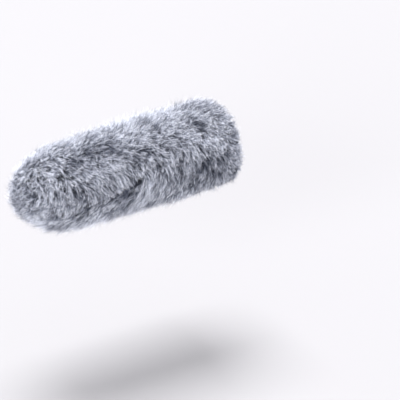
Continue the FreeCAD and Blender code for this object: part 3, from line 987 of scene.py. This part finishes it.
# %% [markdown]
# The backing lies on the lining, bulges over the hem's elastic and ends at the binding. It could
# be thickened from a single layer, but its two panels are thinner where they are turned in at
# the seam, so both sides are drawn. The groove that this leaves holds the stitches.

# %% Tube of the backing
elastic_rear, elastic_front = -high("hem_elastic").x / MM, -low("hem_elastic").x / MM
elastic_out = high("hem_elastic").z / MM
mouth_depth = -PILE_REAR_X / MM
thick = 0.95


def on_lining(depth):
    """Outside of the lining, in millimetres, with a hair's breadth to spare."""
    share = (depth - HEM_DEPTH) / (SEAM_DEPTH - HEM_DEPTH)
    return SLEEVE_OUT + (CAP_OUT - SLEEVE_OUT) * max(share, 0) + 0.04


inside = [(mouth_depth + 0.2, on_lining(0)), (elastic_rear - 0.8, on_lining(0)),
          (elastic_rear - 0.2, elastic_out + 0.06), (elastic_front + 0.2, elastic_out + 0.06),
          (elastic_front + 0.8, on_lining(0)), (HEM_DEPTH, on_lining(0)),
          (50, on_lining(50)), (86, on_lining(86)), (SEAM_DEPTH - 0.1, on_lining(SEAM_DEPTH))]
outside = [(depth, radius + thick) for depth, radius in inside[:-1]]
outside += [(SEAM_DEPTH - 4, on_lining(SEAM_DEPTH) + thick),
            (SEAM_DEPTH - 1.9, on_lining(SEAM_DEPTH) + thick * 0.5),
            (SEAM_DEPTH - 0.1, on_lining(SEAM_DEPTH) + 0.3)]
backing = turned("fur_backing_tube", [*inside, *outside[::-1]])
dress(backing, BACKING_KNIT, "cover")

# %% Dome of the backing
dome_in = on_lining(SEAM_DEPTH)
outer_dome = dome_line(SEAM_DEPTH, lining_length + 0.04 + thick, dome_in + thick)
outer_dome[0] = (SEAM_DEPTH, dome_in + 0.3)
outer_dome[1] = (outer_dome[1][0], outer_dome[1][1] - 0.12)
backing_dome = turned("fur_backing_dome", [
    *dome_line(SEAM_DEPTH, lining_length + 0.04, dome_in, from_tip=True), *outer_dome])
dress(backing_dome, BACKING_KNIT, "cover")

# %% [markdown]
# ## The hem
#
# A tape is folded round the mouth: one leg lies inside, the other turns out behind the pile. The
# elastic draws it into gathers. They could be sculpted, but two waves that go a whole number of
# times round ripple both legs evenly and meet with no join.

# %% Binding
tape_rear, rim = -high("hem_binding").x / MM, high("hem_binding").z / MM
mouth, tape = SLEEVE_OUT - 0.7, 0.55
leg = mouth + 0.08

tape_line = [(HEM_DEPTH, leg), (10.5, leg), (7, leg), (4, leg), (2.4, mouth + 0.1),
             (1.6, mouth + 0.35), (tape_rear + 0.12, mouth + 1.0), (tape_rear + 0.1, mouth + 1.8),
             (tape_rear + 0.1, rim - 0.45), (tape_rear + 0.25, rim - 0.05)]
tape_back = [(tape_rear + 0.25 + tape, rim - 0.1), (tape_rear + 0.1 + tape, rim - 0.5),
             (tape_rear + 0.12 + tape, mouth + 1.9), (2.0, mouth + 1.2), (2.6, mouth + 0.7),
             (4, leg + tape), (7, leg + tape), (10.5, leg + tape), (HEM_DEPTH, leg + tape)]
binding = turned("mouth_binding", [*tape_line, *tape_back], steps=312)


def gathers(x, radius, angle):
    """Ripples of the drawn-in tape: across its leg, and along the axis on its turned-out rim."""
    wave = np.sin(39 * angle) * 0.6 + np.sin(52 * angle + 1.3) * 0.4
    share = smooth((radius - (mouth + 0.9) * MM) / (1.5 * MM)) * (x > -2.6 * MM)
    return x - 0.16 * MM * (wave + 1) * share, radius + 0.05 * MM * (wave + 1) * (1 - share)


reshape(binding, gathers)
dress(binding, TAPE, "cover")
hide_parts("hem_binding")

# %% [markdown]
# The elastic is a flat braid with a rib along each edge. A plain ring would pass for it inside
# the hem, but the ribs are what tell elastic from tape when the cover is turned out, so they are
# in its outline.

# %% Elastic
band_in, band_out = elastic_out - 0.98, elastic_out - 0.02
elastic = turned("elastic_band", [
    (elastic_rear + 0.05, band_in), (elastic_front - 0.05, band_in),
    (elastic_front, band_in + 0.3), (elastic_front - 0.1, band_out),
    (elastic_front - 0.9, band_out), (elastic_front - 1.1, band_out - 0.15),
    (elastic_rear + 1.1, band_out - 0.15), (elastic_rear + 0.9, band_out),
    (elastic_rear + 0.1, band_out), (elastic_rear, band_in + 0.3),
])
dress(elastic, BRAID, "cover")
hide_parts("hem_elastic")

# %% [markdown]
# ## Stitches
#
# A stitch is a short length of twisted thread that dips into the cloth at both ends. A curve with
# a bevel could give it, but its ends stay blunt. So one stitch is shaped from a small sphere, and
# the rows are copies of it, each at its own place and slant, in one mesh to a row.

# %% One stitch
def one_stitch(length, width, height):
    """Points and faces of one stitch that lies along X and faces up Z."""
    bpy.ops.object.select_all(action="DESELECT")
    bpy.ops.mesh.primitive_uv_sphere_add(segments=8, ring_count=9, radius=0.5)
    stitch = bpy.context.object
    bpy.ops.object.mode_set(mode="EDIT")
    bpy.ops.transform.rotate(value=math.pi / 2, orient_axis="Y", center_override=(0, 0, 0))
    bpy.ops.object.mode_set(mode="OBJECT")
    points = np.array([v.co for v in stitch.data.vertices])
    faces = [tuple(face.vertices) for face in stitch.data.polygons]
    twist = 1 + 0.12 * np.sin(points[:, 0] * 26 + np.arctan2(points[:, 1], points[:, 2]) * 2)
    full = np.sqrt(np.clip(1 - (2 * np.abs(points[:, 0])) ** 2, 1e-6, 1))
    squarer = np.minimum(1.35, (1 - (2 * np.abs(points[:, 0])) ** 6) / full)
    points[:, 1:] *= (twist * squarer)[:, None]
    points *= [length, width, height]
    points[:, 2] -= 0.3 * height * (2 * np.abs(points[:, 0]) / length) ** 2
    bpy.data.objects.remove(stitch)
    return points, faces


# %% Rows of stitches
def sew(name, places, length=3.1 * MM, width=0.75 * MM, height=0.5 * MM):
    """A row of stitches: each place is its middle, the way it runs and the way it faces."""
    points, faces = one_stitch(length, width, height)
    all_points, all_faces = [], []
    for middle_point, run, face in places:
        run, face = np.array(run, float), np.array(face, float)
        axes = np.stack([run, np.cross(face, run), face])
        shift = len(all_points) * len(points)
        all_faces += [tuple(v + shift for v in f) for f in faces]
        all_points.append(points @ axes + np.array(middle_point, float))
    mesh = bpy.data.meshes.new(name)
    mesh.from_pydata(np.concatenate(all_points).tolist(), [], all_faces)
    mesh.shade_smooth()
    row = bpy.data.objects.new(name, mesh)
    bpy.context.scene.collection.objects.link(row)
    dress(row, THREAD, "cover")
    print(f"{name}: {len(places)} stitches")
    return row


def round_row(count, x, radius, slant, faces_rear=False):
    """Places of stitches round the axis; slant 0 runs along the row, 90 across it."""
    places, lean = [], math.radians(slant)
    for number in range(count):
        angle = TURN * number / count
        out = np.array([0, math.sin(angle), math.cos(angle)])
        way = np.array([0, math.cos(angle), -math.sin(angle)])
        across, face = (out, (1, 0, 0)) if faces_rear else (np.array([1, 0, 0]), out)
        run = math.cos(lean) * way + math.sin(lean) * across
        places.append((out * radius + [x, 0, 0], run, face))
    return places


# %% Sew the three rows
hem_row = sew("binding_stitches", round_row(
    36, -(tape_rear + 0.14) * MM, 25.2 * MM, 4, faces_rear=True), height=0.42 * MM)
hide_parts("hem_stitching")
nose_row = sew("nose_seam_stitches", round_row(
    40, DOME_X, (dome_in + 0.62) * MM, 72))
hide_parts("nose_seam_thread")
slanted = (math.cos(0.3), 0, math.sin(0.3))
long_row = sew("long_seam_stitches", [
    ((-depth * MM, -(on_lining(depth) + thick + 0.1) * MM, 0), slanted, (0, -1, 0))
    for depth in 18 + 4.4 * np.arange(24)])
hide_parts("body_seam_thread")

# %% [markdown]
# ## Collar and ring
#
# The collar grips the microphone, and a hard ring keeps it round. Both could be modelled again,
# but their CAD shape is exact, so they keep it and only get their finishes: moulded rubber with
# a fine dull grain, and a hard dark plastic.

# %% Finish the CAD pieces
for name, paint in (("rubber_collar", RUBBER), ("collar_ring", RING)):
    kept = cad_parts[name]
    kept.data.materials.clear()
    kept.data.materials.append(paint)
    print(name, "painted with", paint.name)

# %% [markdown]
# ## Finish
#
# The pile is knitted into the cover, so every mesh of it rides on the cover and together they
# stand for both fur panels.

# %% Ride on the cover, and hide the panels
for piece in pile:
    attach(piece, "cover")
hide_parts("fur_body_panel", "fur_nose_panel")
